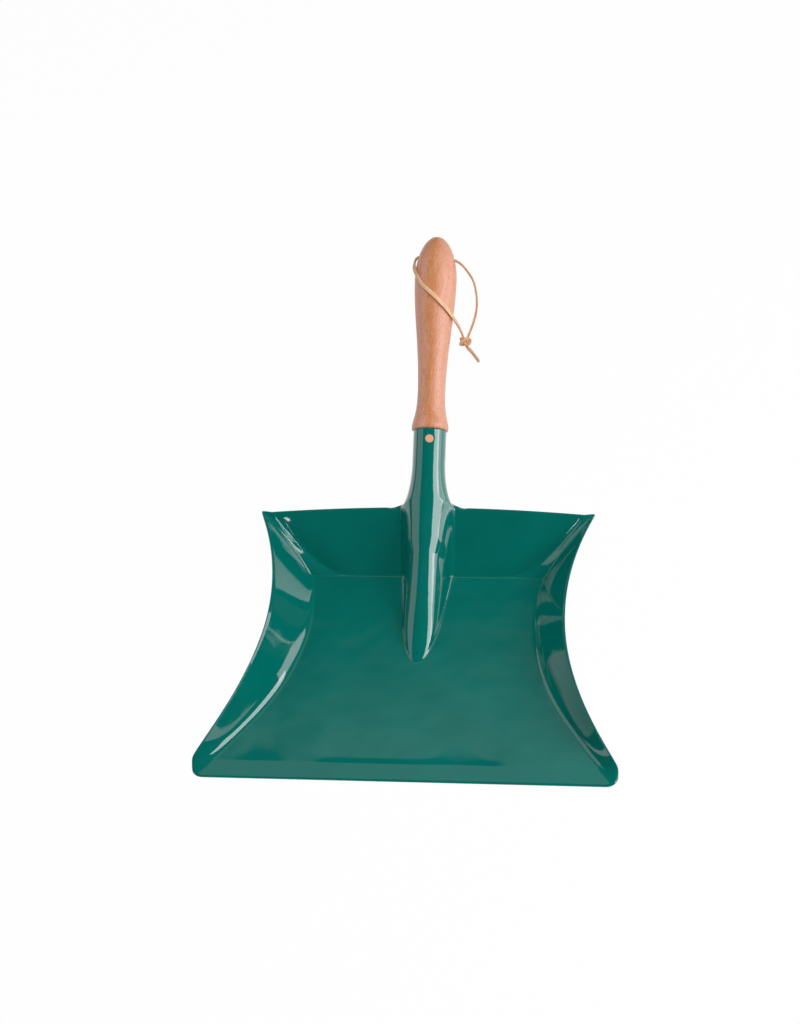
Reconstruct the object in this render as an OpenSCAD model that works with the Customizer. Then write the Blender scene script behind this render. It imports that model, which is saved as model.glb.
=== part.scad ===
// Hand dustpan: a pan pressed from one steel sheet, whose back rolls up into a
// socket, a turned beech handle pinned in that socket, and a leather hanging lace.
// Millimetres. The pan lies flat on z = 0, its mouth faces -Y, the handle rises to +Y.

/* [Sheet] */
// Thickness of the pressed steel sheet
sheet_t = 0.9; // [0.7:0.1:1.2]

/* [Pan floor] */
// Overall width of the mouth
mouth_w = 287; // [270:1:305]
// Distance from each end of the mouth in to where the crease meets it
crease_inset = 6; // [4:0.5:8]
// Width of the floor at its narrowest, crease to crease
waist_w = 155; // [140:1:164]
// Distance of the floor's narrowest place behind the mouth
waist_y = 138; // [130:1:146]
// Radius of the creases round the waist, seen from above
crease_r = 161; // [145:1:170]
// Depth of the floor, from the mouth to the back bend
floor_len = 172; // [164:1:180]
// Radius of the two front corners
corner_r = 8; // [6:0.5:11]
// Depth of the sweeping lip along the mouth
lip_len = 13; // [9:1:17]
// Height of the low crest behind the lip
lip_rise = 1.0; // [0.6:0.1:1.6]
// Length over which the crest runs out into the floor
lip_runout = 18; // [12:1:24]

/* [Pan walls] */
// Height of the back rim above the ground
rim_h = 33.5; // [30:0.5:38]
// How far the back wall leans out from its foot to its rim
back_lean = 36; // [33:1:42]
// How far the rim's ends lie in front of its middle
rim_bow = 5.5; // [4:0.5:8]
// Distance between the two back corners, crease to crease
corner_span = 221; // [212:1:228]
// Height of the side walls where they stop climbing steeply
side_h = 26.5; // [24:0.5:29]
// Length over which the side walls climb from the front corners
side_run = 87; // [75:1:95]
// Distance between the side rims where they come closest
rim_waist_w = 203; // [196:1:212]
// Distance of that place behind the mouth
rim_waist_y = 128; // [122:1:136]
// Length of the fold between side wall and back wall, seen from above
tip_w = 7; // [5:0.5:9]
// Share of the half width at which the back bend starts to sweep up to the tips
gusset_from = 0.55; // [0.45:0.05:0.65]
// Softness of the back bend, as a share of the wall
bend_soft = 0.1; // [0.06:0.01:0.15]

/* [Ridge and socket] */
// Width of the hollow ridge where it crosses the back rim
ridge_w = 39; // [35:1:43]
// How much narrower the ridge gets on each side for every millimetre forward
ridge_taper = 0.09; // [0.07:0.01:0.1]
// Distance of the ridge's nose behind the mouth
nose_y = 97; // [88:1:106]
// Length of the rounded nose
nose_len = 35; // [25:1:45]
// Outside diameter of the rolled socket
socket_d = 23.3; // [21:0.1:26]
// Length of the socket from the back rim to its end
socket_len = 53.3; // [50:0.1:58]
// Length over which the open ridge rolls up into the closed socket
roll_len = 31; // [27:1:34]
// Width of the fillets where the socket leaves the back rim
flare_w = 6; // [4:0.5:8]
// Gap of the butt seam under the socket
seam_gap = 0.6; // [0.4:0.1:1.2]
// Height of the socket's axis above the ground where it crosses the back rim
axis_h = 35.5; // [34:0.5:38]
// Angle between the handle and the ground
handle_tilt = 28.3; // [25:0.1:31]

/* [Handle] */
// Length of the handle from the socket's end to the tip
handle_len = 142.7; // [130:0.1:155]
// Largest diameter, at the grip's swell
swell_d = 29.8; // [27:0.1:32]
// Distance of the swell in front of the tip
swell_back = 32; // [28:1:36]
// Smallest diameter, at the neck
neck_d = 19.4; // [17:0.1:21]
// Distance of the neck from the socket's end
neck_at = 29; // [25:1:33]
// Diameter of the shoulder that meets the socket
shoulder_d = 25.8; // [24.5:0.1:28]
// Thickness of the shoulder, up to where the cove starts
shoulder_t = 4.5; // [3:0.5:6]
// Radius that rounds the shoulder's edge at the socket
shoulder_round = 1.5; // [0.5:0.1:2]
// Length of the tenon inside the socket
tenon_len = 30; // [26:1:32]
// Diameter at the end of the tenon, which tapers where the socket opens into the ridge
tenon_end_d = 16; // [14:0.5:17]
// Clearance around the tenon
tenon_gap = 0.1; // [0.05:0.05:0.3]

/* [Pin and lace hole] */
// Diameter of the wooden pin
pin_d = 6; // [4:0.1:8]
// Length of the pin
pin_len = 17; // [12:0.5:19]
// Distance of the pin from the socket's end
pin_from_end = 7; // [5:0.5:9]
// Depth of the pin's flat end below the socket's surface
pin_sunk = 0.4; // [0:0.1:0.8]
// Angle of the pin round the socket, to the right of its crown
pin_turn = 7.4; // [0:0.1:12]
// Clearance around the pin
pin_gap = 0.05; // [0.02:0.01:0.1]
// Diameter of the cross hole for the lace
lace_hole_d = 6; // [5.8:0.1:7]
// Distance of the lace hole from the handle's tip
lace_hole_from_tip = 16; // [14:0.5:20]

/* [Lace] */
// Width of the flat leather lace
lace_w = 3; // [2.4:0.1:3.4]
// Thickness of the lace
lace_t = 1.7; // [1.2:0.1:2]
// Distance from the knot's middle to the middle of its turns
knot_r = 2.5; // [2.4:0.1:2.8]

/* [Hidden] */

// derived sizes of the pan
half_mouth = mouth_w / 2;
half_waist = waist_w / 2;
rim_y = floor_len + back_lean;
tip_x = corner_span / 2;
tip_y = rim_y - rim_bow;

// derived sizes of the handle line
socket_r = socket_d / 2;
tenon_r = socket_r - sheet_t - tenon_gap;
tip_s = socket_len + handle_len;
swell_s = tip_s - swell_back;
overall_len = rim_y + swell_s * cos(handle_tilt)
    + norm([swell_back * cos(handle_tilt), swell_d / 2 * sin(handle_tilt)]);

// Crease seen from above: straight from the mouth until it meets the waist's arc at a tangent
crease_start = [half_mouth - crease_inset, 0];
crease_centre = [half_waist + crease_r, waist_y];
crease_angle = atan2(waist_y, crease_centre[0] - crease_start[0])
    + asin(crease_r / norm(crease_centre - crease_start));
crease_straight = sqrt(pow(norm(crease_centre - crease_start), 2) - crease_r * crease_r) * sin(crease_angle);
function crease_x(y) = y < crease_straight
    ? crease_start[0] + y / tan(crease_angle)
    : crease_centre[0] - sqrt(crease_r * crease_r - pow(waist_y - y, 2));

// Side rim seen from above: the front corner's arc, then one arc round the waist at a tangent to it
corner_x = half_mouth - corner_r;
rim_a = rim_waist_w / 2 - corner_x;
rim_b = rim_waist_y - corner_r;
rim_curve_r = (rim_a * rim_a + rim_b * rim_b - corner_r * corner_r) / (2 * (corner_r - rim_a));
corner_end = corner_r + corner_r * rim_b / (rim_curve_r + corner_r);
function rim_x(y) = y < corner_end
    ? corner_x + sqrt(corner_r * corner_r - pow(y - corner_r, 2))
    : rim_waist_w / 2 + rim_curve_r - sqrt(rim_curve_r * rim_curve_r - pow(rim_waist_y - y, 2));

// Height of the side rim: a quick rounded climb, then a slow rise to the tip
side_rim_end = tip_y + 1;
function climb(y) = 1 - pow(1 - min(max(0, y - corner_r) / side_run, 1), 2);
function rim_z(y) = sheet_t + (side_h - sheet_t) * pow(climb(y), 0.65)
    + (rim_h - side_h) * pow(y / side_rim_end, 2) * climb(y);

// Ramp with a soft start: 0 before -w, x after w
function soft(x, w) = x < -w ? 0 : x > w ? x : pow(x + w, 2) / (4 * w);

function lerp(a, b, t) = a + (b - a) * t;

// Low crest behind the mouth that sets the lip off from the floor
function crest(y) = y < lip_len ? lip_rise * y / lip_len
    : lip_rise * pow(max(0, 1 - (y - lip_len) / lip_runout), 2);

// Front edge: straight, with a round corner at each end
function front_y(x) = abs(x) < corner_x ? 0
    : corner_r - sqrt(max(0, corner_r * corner_r - pow(abs(x) - corner_x, 2)));

// The ridge's crown leaves the socket's top line and flattens towards the nose
crown_y0 = rim_y - socket_r * sin(handle_tilt);
crown_z0 = axis_h + socket_r * cos(handle_tilt);
crown_run = crown_y0 - nose_y;
crown_bend = (crown_run * tan(handle_tilt) - crown_z0 + sheet_t) / (crown_run * crown_run);
function crown_z(y) = crown_z0 - (crown_y0 - y) * tan(handle_tilt)
    + crown_bend * pow(max(0, crown_y0 - y), 2);
function ridge_line(y) = ridge_w / 2 - ridge_taper * (rim_y - max(y, nose_y));
function nose(y) = sqrt(max(0, 1 - pow(1 - min(1, (y - nose_y) / nose_len), 2)));

// Arch across the ridge: an ellipse with a tangent fillet at its foot
foot_q = 0.96;
foot_end = foot_q + 2 * (1 - foot_q * foot_q) / foot_q;
function arch(q) = q < foot_q ? sqrt(1 - q * q)
    : q < foot_end ? sqrt(1 - foot_q * foot_q) * pow((foot_end - q) / (foot_end - foot_q), 2) : 0;

// Share of its height that the back wall has reached, t up the wall and u out from the middle.
// Near the tips the bend line climbs, which leaves a soft gusset beside each corner fold.
function out_share(u) = max(0, (u - gusset_from) / (1 - gusset_from));
function wall_share(t, u) =
    let (w = out_share(u), line = bend_soft + (1 - 2 * bend_soft) * pow(w, 4), lift = w * w)
    lift * t + (1 - lift) * soft(t - line, bend_soft) / (1 - line);

// Surface of the spine at the station y (floor) or t (back wall), at the distance x from the middle
function with_ridge(x, y, z) =
    y <= nose_y ? [x, y, z]
    : [x, y, z + max(0, crown_z(y) - z) * arch(abs(x) / max(0.01, ridge_line(y) * nose(y)))];
function floor_point(x, y) =
    with_ridge(x, y + front_y(x) * pow(max(0, 1 - y / 30), 2), sheet_t + crest(y));
function wall_point(x, t) =
    let (k = fold(t), u = abs(x) / k[0])
    with_ridge(x, floor_len + t * (back_lean - rim_bow * u * u),
        sheet_t + (rim_h - sheet_t) * wall_share(t, u));

// Fold between side wall and back wall, from the floor's corner up to the tip
floor_corner_x = crease_x(floor_len);
function fold(t) = [lerp(floor_corner_x, tip_x, t), lerp(floor_len, tip_y, t), lerp(sheet_t, rim_h, t)];

// Side rim that faces the station y (floor) or t (back wall)
side_start = corner_r;
side_at_corner = floor_len + 11;
function side_rim(y) = let (r = lerp(side_start, side_at_corner, y / floor_len)) [rim_x(r), r, rim_z(r)];
function tip_rim(t) =
    let (r = lerp(side_at_corner, side_rim_end, t), tip = [tip_x + tip_w, side_rim_end, rim_h])
    lerp([rim_x(r), r, rim_z(r)], tip, pow(t, 3));

// Side wall between its crease and its rim; softness 0 leaves a sharp crease.
// Near the mouth the control point moves out, so that the wall's end follows the round corner.
function side_point(k, r, w, softness, at_corner = 0) =
    let (q = [lerp(k[0], r[0], lerp(softness, 1, at_corner)),
        lerp(k[1], r[1], lerp(softness, 0.2, at_corner)), k[2]])
    (1 - w) * (1 - w) * k + 2 * w * (1 - w) * q + w * w * r;
function side_softness(y) = 0.06 + 0.45 * pow(1 - y / floor_len, 2);
function corner_share(y) = pow(max(0, 1 - y / (4 * corner_r)), 2);

// Columns from the middle outwards: across the ridge, over its flare, across the panel, up the side
ridge_q = [0, 0.15, 0.3, 0.45, 0.6, 0.74, 0.86, 0.95, 1.03, foot_end];
flare_steps = 2;
panel_f = [0.2, 0.38, 0.54, 0.68, 0.8, 0.9, 0.96, 1];
side_w = [0.25, 0.45, 0.65, 0.83, 1];
function spine_columns(line, edge) =
    let (foot = line * foot_end + flare_w)
    concat([for (q = ridge_q) q * line],
        [for (i = [1:flare_steps]) line * foot_end + flare_w * i / flare_steps],
        [for (f = panel_f) lerp(foot, edge, f)]);

// One half of a row of the sheet's upper surface
function floor_row(y) =
    let (k = crease_x(y), cols = spine_columns(ridge_line(y), k),
        spine = [for (x = cols) floor_point(x, y)],
        rim = side_rim(y), foot = spine[len(spine) - 1])
    concat(spine, [for (w = side_w) side_point(foot, rim, w, side_softness(y), corner_share(y))]);
function wall_row(t) =
    let (k = fold(t), line = ridge_line(floor_len + back_lean * t),
        spine = [for (x = spine_columns(line, k[0])) wall_point(x, t)],
        foot = spine[len(spine) - 1])
    concat(spine, [for (w = side_w) side_point(foot, tip_rim(t), w, 0)]);

// Both halves of a row
function whole(half) = concat([for (i = [len(half) - 1:-1:1]) [-half[i][0], half[i][1], half[i][2]]], half);

nose_steps = 8;
fore_steps = 5;
aft_steps = 5;
function stretch(a, b, n) = [for (i = [1:n]) lerp(a, b, i / n)];
floor_rows = concat([0], stretch(0, lip_len, 3), stretch(lip_len, lip_len + lip_runout, 3),
    stretch(lip_len + lip_runout, nose_y, fore_steps), stretch(nose_y, nose_y + nose_len, nose_steps),
    stretch(nose_y + nose_len, floor_len, aft_steps));
wall_rows = [0.05, 0.1, 0.15, 0.2, 0.3, 0.42, 0.55, 0.7, 0.85, 1];
pan_grid = concat([for (y = floor_rows) whole(floor_row(y))], [for (t = wall_rows) whole(wall_row(t))]);

// Rows of the tang, from the back rim to the closed socket, where it ends as a tongue
// that lies inside the tube's wall
tang_steps = 10;
tongue_len = 1;
tongue_inset = 0.06;
tongue_t = sheet_t - 0.25;
tongue_gap = seam_gap + 0.4;
tang_half = len(ridge_q) + flare_steps - 1;
tang_cols = 2 * tang_half + 1;
axis_dir = [0, cos(handle_tilt), sin(handle_tilt)];
axis_up = [0, -sin(handle_tilt), cos(handle_tilt)];
last_row = pan_grid[len(pan_grid) - 1];
mid_col = (len(last_row) - 1) / 2;
tongue_r = socket_r - tongue_inset;
seam_angle = 180 - asin(tongue_gap / 2 / tongue_r);
// Share of the way from the open ridge to the closed socket. It grows at once along the flares,
// which leave the rim in a tangent fillet, and with a soft start along the crown.
crown_power = 1.05;
flare_power = 0.68;
settle_power = 1.9;
function roll_share(s, j) =
    1 - pow(1 - pow(min(1, s / roll_len), lerp(crown_power, flare_power, abs(j) / tang_half)), settle_power);
function rolled(s, j) =
    let (a = seam_angle * j / tang_half)
    [0, rim_y, axis_h] + s * axis_dir + tongue_r * (sin(a) * [1, 0, 0] + cos(a) * axis_up);
function leaving(j) = unit(last_row[mid_col + j] - pan_grid[len(pan_grid) - 2][mid_col + j]);
function tang_point(s, j) = lerp(last_row[mid_col + j] + s * leaving(j), rolled(s, j), roll_share(s, j));
tang_s = concat([for (i = [1:tang_steps]) roll_len * pow(i / tang_steps, 1.5)], [roll_len + tongue_len]);
tang_grid = [for (s = tang_s) [for (j = [-tang_half:tang_half]) tang_point(s, j)]];

// Surface point and unit normal in the grid of the pan (row r) and the tang above it
rows = len(pan_grid);
cols = len(last_row);
tang_rows = len(tang_grid);
function is_tang(c) = abs(c - mid_col) <= tang_half;
function sheet_point(r, c) = r < rows ? pan_grid[r][c] : tang_grid[r - rows][c - mid_col + tang_half];
function first_col(r) = r < rows ? 0 : mid_col - tang_half;
function last_col(r) = r < rows ? cols - 1 : mid_col + tang_half;
function last_row_at(c) = is_tang(c) ? rows + tang_rows - 1 : rows - 1;
function thickness(r) = r < rows ? sheet_t : lerp(sheet_t, tongue_t, roll_share(tang_s[r - rows], 0));
function unit(v) = v / norm(v);
function normal(r, c) =
    unit(cross(sheet_point(r, min(last_col(r), c + 1)) - sheet_point(r, max(first_col(r), c - 1)),
        sheet_point(min(last_row_at(c), r + 1), c) - sheet_point(max(0, r - 1), c)));

// Vertex numbers: all the upper points, then all the lower ones
top_count = rows * cols + tang_rows * tang_cols;
function vertex(r, c) = r < rows ? r * cols + c
    : rows * cols + (r - rows) * tang_cols + c - mid_col + tang_half;
stations = concat([for (r = [0:rows - 1]) for (c = [0:cols - 1]) [r, c]],
    [for (r = [rows:rows + tang_rows - 1]) for (c = [first_col(r):last_col(r)]) [r, c]]);
cells = concat([for (r = [0:rows - 2]) for (c = [0:cols - 2]) [r, c]],
    [for (r = [rows - 1:rows + tang_rows - 2])
        for (c = [mid_col - tang_half:mid_col + tang_half - 1]) [r, c]]);

// The sheet's free edge, once round: mouth, right side, rim, tang, socket end, and back
edge = concat([for (c = [0:cols - 1]) [0, c]],
    [for (r = [1:rows - 1]) [r, cols - 1]],
    [for (c = [cols - 2:-1:mid_col + tang_half]) [rows - 1, c]],
    [for (r = [rows:rows + tang_rows - 1]) [r, mid_col + tang_half]],
    [for (c = [mid_col + tang_half - 1:-1:mid_col - tang_half]) [rows + tang_rows - 1, c]],
    [for (r = [rows + tang_rows - 2:-1:rows - 1]) [r, mid_col - tang_half]],
    [for (c = [mid_col - tang_half - 1:-1:0]) [rows - 1, c]],
    [for (r = [rows - 2:-1:1]) [r, 0]]);

module pressed_sheet() {
    upper = [for (p = stations) sheet_point(p[0], p[1])];
    lower = [for (p = stations) sheet_point(p[0], p[1]) - thickness(p[0]) * normal(p[0], p[1])];
    n = top_count;
    corners = [for (p = cells) [vertex(p[0], p[1]), vertex(p[0], p[1] + 1),
        vertex(p[0] + 1, p[1] + 1), vertex(p[0] + 1, p[1])]];
    top_faces = [for (q = corners) each [[q[0], q[2], q[1]], [q[0], q[3], q[2]]]];
    low_faces = [for (q = corners) each [[n + q[0], n + q[1], n + q[2]], [n + q[0], n + q[2], n + q[3]]]];
    ring = [for (p = edge) vertex(p[0], p[1])];
    m = len(ring);
    side_faces = [for (i = [0:m - 1]) let (a = ring[i], b = ring[(i + 1) % m])
        each [[a, b, n + b], [a, n + b, n + a]]];
    polyhedron(concat(upper, lower), concat(top_faces, low_faces, side_faces));
}

// Puts the origin under the middle of the whole dustpan
module in_frame() {
    translate([0, -overall_len / 2, 0]) children();
}

// Puts children on the handle's axis, s beyond the back rim; their -Y side faces up
module on_axis(s) {
    translate([0, rim_y, axis_h]) rotate([handle_tilt - 90, 0, 0]) translate([0, 0, s]) children();
}

// Straight part of the socket: a round tube with the butt seam underneath
module socket_tube() {
    on_axis(roll_len) difference() {
        cylinder(r = socket_r, h = socket_len - roll_len, $fn = 96);
        translate([0, 0, -1]) cylinder(r = socket_r - sheet_t, h = socket_len, $fn = 96);
        translate([-seam_gap / 2, 0, -1]) cube([seam_gap, socket_d, socket_len]);
    }
}

// Round solid along the pin, from its flat end downwards; the hole is open above it
module along_pin(clear, above) {
    on_axis(socket_len - pin_from_end) rotate([0, 0, pin_turn])
        translate([0, pin_sunk - socket_r - above, 0]) rotate([-90, 0, 0])
        cylinder(d = pin_d + 2 * clear, h = above + pin_len + clear, $fn = 48);
}

module pan() {
    color([0.0, 0.38, 0.31]) in_frame() difference() {
        union() {
            pressed_sheet();
            socket_tube();
        }
        along_pin(pin_gap, 2);
    }
}

// Smooth curve between two radii along the handle, flat at both ends
function bezier(a, b, c, d, t) =
    pow(1 - t, 3) * a + 3 * t * pow(1 - t, 2) * b + 3 * t * t * (1 - t) * c + pow(t, 3) * d;
handle_profile = let (
    neck = [neck_d / 2, socket_len + neck_at],
    swell = [swell_d / 2, swell_s],
    foot = socket_len + tenon_gap,
    shoulder = [shoulder_d / 2, socket_len + shoulder_t],
    tenon_end = [tenon_end_d / 2, socket_len - tenon_len],
    neck_to_swell = swell_s - neck[1],
    cove = neck[1] - shoulder[1])
    concat([[0, tenon_end[1]], tenon_end - [1, 0], tenon_end + [0, 1], [tenon_r, roll_len], [tenon_r, foot]],
        [for (a = [0:22.5:90])
            [shoulder[0] + shoulder_round * (sin(a) - 1), foot + shoulder_round * (1 - cos(a))]],
        [shoulder],
        [for (i = [1:12])
            bezier(shoulder, shoulder + [-2, cove * 0.32], neck - [0, cove * 0.5], neck, i / 12)],
        [for (i = [1:20])
            bezier(neck, neck + [0, neck_to_swell * 0.36], swell - [0, neck_to_swell * 0.3], swell, i / 20)],
        [for (i = [1:16]) [swell[0] * cos(90 * i / 16), swell[1] + swell_back * sin(90 * i / 16)]]);

module handle() {
    color([0.87, 0.62, 0.44]) in_frame() difference() {
        on_axis(0) rotate_extrude($fn = 96) polygon(handle_profile);
        along_pin(pin_gap, 2);
        on_axis(tip_s - lace_hole_from_tip) rotate([0, 90, 0])
            cylinder(d = lace_hole_d, h = swell_d + 2, center = true, $fn = 48);
    }
}

module pin() {
    color([0.94, 0.74, 0.58]) in_frame() along_pin(0, 0);
}

// Lace: its route's points, in the finished frame. The two halves of the loop start back to back
// in the middle of the cross hole and end at the knot, where the tail begins.
left_route = [[0, 176, 121], [-6, 176.5, 121.3], [-11, 177, 121.5], [-13.5, 176.5, 121.5], [-15, 174.5, 121],
    [-15.5, 172, 120.5], [-15.5, 169, 120.5], [-15, 165.5, 121.5], [-13.5, 161, 123], [-10, 153, 123],
    [-6.5, 147.5, 122.5], [-2, 143.5, 121.5], [2.5, 140, 119], [7, 137, 115.5], [11, 135, 110.5],
    [14.5, 134, 103], [17, 133, 98], [19, 132, 92.5], [20, 131, 87.5]];
right_route = [[0, 176, 121], [6, 175.5, 120.7], [11, 175, 120.5], [14.5, 174.2, 120], [18, 172.3, 118.7],
    [21.5, 169.5, 116], [24.5, 166.5, 113], [27, 163, 110.5], [29, 156.5, 105], [29.5, 149.5, 99],
    [28, 143.5, 94], [26, 138.5, 90], [23.5, 132.5, 86.5]];
tail_route = [[23, 126, 81.5], [25, 124.5, 80.5], [28, 121.5, 78.5], [31.5, 117.5, 76]];
knot_centre = [21.5, 129, 84.5];

// Catmull-Rom curve through a route's points, with the ends running straight
function along(route, i) = i < 0 ? 2 * route[0] - route[1]
    : i >= len(route) ? 2 * route[len(route) - 1] - route[len(route) - 2] : route[i];
function curve_point(route, i, f) =
    let (a = along(route, i - 1), b = along(route, i), c = along(route, i + 1), d = along(route, i + 2))
    0.5 * (2 * b + (c - a) * f + (2 * a - 5 * b + 4 * c - d) * f * f + (3 * b - a - 3 * c + d) * pow(f, 3));
function curve(route, steps) = concat(
    [for (i = [0:len(route) - 2]) for (k = [0:steps - 1]) curve_point(route, i, k / steps)],
    [route[len(route) - 1]]);
function tangents(line) = [for (i = [0:len(line) - 1])
    unit(line[min(i + 1, len(line) - 1)] - line[max(i - 1, 0)])];

// The lace lies flat: its face looks away from the handle's axis, up to the swell, and past it
// away from the swell's middle
axis_foot = [0, rim_y - overall_len / 2, axis_h];
function face_from(p) = p - axis_foot - min((p - axis_foot) * axis_dir, swell_s) * axis_dir;
function face_dir(p, t) = unit(face_from(p) - (face_from(p) * t) * t);

// Closed tube with an oval cross-section of eight sides through the rings' centres
module oval_tube(line, tangent, face, half_w, half_t) {
    ring = [for (i = [0:len(line) - 1]) for (k = [0:7])
        let (a = 45 * k + 22.5, side = cross(tangent[i], face[i]), stretch = 1 / cos(22.5))
        line[i] + stretch * (half_w * cos(a) * side + half_t * sin(a) * face[i])];
    n = len(line);
    walls = [for (i = [0:n - 2]) for (k = [0:7]) let (a = 8 * i + k, b = 8 * i + (k + 1) % 8)
        each [[a, b, b + 8], [a, b + 8, a + 8]]];
    caps = [[for (k = [7:-1:0]) k], [for (k = [0:7]) 8 * (n - 1) + k]];
    polyhedron(ring, concat(walls, caps));
}

module lace(route) {
    line = curve(route, 2);
    tangent = tangents(line);
    face = [for (i = [0:len(line) - 1]) face_dir(line[i], tangent[i])];
    oval_tube(line, tangent, face, lace_w / 2, lace_t / 2);
}

module lace_left() {
    color([0.80, 0.58, 0.36]) lace(left_route);
}

module lace_right() {
    color([0.80, 0.58, 0.36]) lace(right_route);
}

module lace_tail() {
    color([0.80, 0.58, 0.36]) lace(tail_route);
}

// Overhand knot drawn tight: a trefoil, which is that knot with its ends joined, wound round
// a ring whose section is an ellipse, tall along the lace
knot_rings = 36;
knot_wrap_r = 0.46 * knot_r;
knot_wrap_h = 0.9 * knot_r;
knot_squeeze = 0.8;
knot_lace_r = knot_squeeze * (lace_w + lace_t) / 4;
function knot_point(a) = let (r = knot_r + knot_wrap_r * cos(3 * a))
    [r * cos(2 * a), r * sin(2 * a), knot_wrap_h * sin(3 * a)];
knot_line = [for (i = [0:knot_rings - 1]) knot_point(360 * i / knot_rings)];
knot_gap = min([for (i = [0:knot_rings - 8]) for (j = [i + 6:min(knot_rings - 1, i + knot_rings - 6)])
    norm(knot_line[i] - knot_line[j])]) - 2 * knot_lace_r;
module lace_knot() {
    echo(knot_gap = knot_gap);
    n = knot_rings;
    ring = [for (i = [0:n - 1]) for (k = [0:7])
        let (t = unit(knot_line[(i + 1) % n] - knot_line[(i + n - 1) % n]),
            side = unit(cross(t, [0, 0, 1])), up = cross(side, t))
        knot_line[i] + knot_lace_r * (cos(45 * k) * side + sin(45 * k) * up)];
    walls = [for (i = [0:n - 1]) for (k = [0:7])
        let (j = (i + 1) % n, m = (k + 1) % 8)
        each [[8 * i + k, 8 * i + m, 8 * j + m], [8 * i + k, 8 * j + m, 8 * j + k]]];
    color([0.74, 0.50, 0.29]) translate(knot_centre) rotate([-45, 0, 0]) polyhedron(ring, walls);
}

pan();
handle();
pin();
lace_left();
lace_right();
lace_knot();
lace_tail();
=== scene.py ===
"""Hand dustpan: a green enamelled pan pressed from one steel sheet, a turned beech handle and a lace."""

import bpy
import numpy as np
from mathutils import Matrix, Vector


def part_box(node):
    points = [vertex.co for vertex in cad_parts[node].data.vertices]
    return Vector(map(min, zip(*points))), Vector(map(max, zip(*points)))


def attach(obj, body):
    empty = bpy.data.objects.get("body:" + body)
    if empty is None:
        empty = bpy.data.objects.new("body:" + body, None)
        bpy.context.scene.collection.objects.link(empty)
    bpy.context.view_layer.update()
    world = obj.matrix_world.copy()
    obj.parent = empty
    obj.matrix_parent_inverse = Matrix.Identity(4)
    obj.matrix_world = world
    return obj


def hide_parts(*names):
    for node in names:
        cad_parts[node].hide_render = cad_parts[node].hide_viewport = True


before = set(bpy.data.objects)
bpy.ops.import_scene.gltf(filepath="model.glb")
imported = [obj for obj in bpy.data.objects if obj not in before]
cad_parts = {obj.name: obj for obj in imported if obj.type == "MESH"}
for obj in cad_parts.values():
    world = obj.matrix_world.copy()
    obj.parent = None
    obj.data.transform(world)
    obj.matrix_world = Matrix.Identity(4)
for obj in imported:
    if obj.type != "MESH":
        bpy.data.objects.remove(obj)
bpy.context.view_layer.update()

# ---------------------------------------------------------------- camera
# A long lens in front of the mouth and to the right of it, which looks down on the pan and leans a little.
camera_place = (0.2794, -1.1927, 1.4997)
camera_turn = 13.9
camera_down = 49.72
camera_lean = 10.16
lens_mm = 96.3


def camera_axes(turn, down, lean):
    """Right, up and forward of a camera turned to the left, tipped down and leaning by these degrees."""
    turn, down, lean = np.radians([turn, down, lean])
    forward = np.array([-np.sin(turn) * np.cos(down), np.cos(turn) * np.cos(down), -np.sin(down)])
    level = np.cross(forward, [0, 0, 1])
    level /= np.linalg.norm(level)
    above = np.cross(level, forward)
    right = level * np.cos(lean) - above * np.sin(lean)
    up = level * np.sin(lean) + above * np.cos(lean)
    return right, up, forward


def new_object(name, data):
    """A new object with this data, linked into the scene."""
    made = bpy.data.objects.new(name, data)
    bpy.context.scene.collection.objects.link(made)
    return made


def set_up(thing, right, up, back, place):
    """Puts a camera or a lamp in its place: its own X, Y and Z point right, up and back."""
    matrix = np.eye(4)
    matrix[:3] = np.column_stack([right, up, back, place])
    thing.matrix_world = Matrix(matrix.tolist())


camera_data = bpy.data.cameras.new("camera")
camera_data.sensor_width = 36
camera_data.lens = lens_mm
camera = new_object("camera", camera_data)
camera_right, camera_up, camera_forward = camera_axes(camera_turn, camera_down, camera_lean)
set_up(camera, camera_right, camera_up, -camera_forward, camera_place)
bpy.context.scene.camera = camera

# ---------------------------------------------------------------- leather lace
# One strip of vegetable-tanned leather, 3 mm wide, pulled through the handle's cross hole. Its two ends are
# tied in an overhand knot below the handle's right side, and the longer end hangs out of the knot.
lace_w = 3.0
lace_t = 1.6
lace_sides = 16
lace_squareness = 3.2
lace_steps = 6
lace_easing = 12
left_route = [[0, 176, 121], [-6, 176.5, 121.3], [-11, 177, 121.5], [-13.5, 176.5, 121.5],
              [-15, 174.5, 121], [-15.5, 172, 120.5], [-15.5, 169, 120.5], [-15, 165.5, 121.5],
              [-13.5, 161, 123], [-10, 153, 123], [-6.5, 147.5, 122.5], [-2, 143.5, 121.5],
              [2.5, 140, 119], [7, 137, 115.5], [11, 135, 110.5], [14.5, 134, 103], [17, 133, 98],
              [19, 132, 92.5], [20, 131, 87.5], [20.6, 130.2, 86]]
right_route = [[0, 176, 121], [6, 175.5, 120.7], [11, 175, 120.5], [14.5, 174.2, 120], [18, 172.3, 118.7],
               [21.5, 169.5, 116], [24.5, 166.5, 113], [27, 163, 110.5], [29, 156.5, 105],
               [29.5, 149.5, 99], [28, 143.5, 94], [26, 138.5, 90], [23.5, 132.5, 86.5],
               [22.7, 130.8, 85.6]]
tail_route = [[22.2, 127.5, 82.8], [23, 126, 81.5], [25, 124.5, 80.5], [28, 121.5, 78.5],
              [31.5, 117.5, 76]]
knot_centre = np.array([21.5, 129, 84.5])
knot_r = 2.5
knot_swing = 0.46
knot_depth = 0.9
knot_tip = -45
knot_half_w = 1.4
knot_half_t = 1.0
knot_squareness = 2.6
knot_rings = 144
handle_tilt = np.radians(28.3)
axis_dir = np.array([0, np.cos(handle_tilt), np.sin(handle_tilt)])
axis_foot = np.array([0, 17.3, 35.5])
swell_s = 164
leather_tan = (0.80, 0.46, 0.25)
leather_pale = (0.92, 0.62, 0.40)
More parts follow.
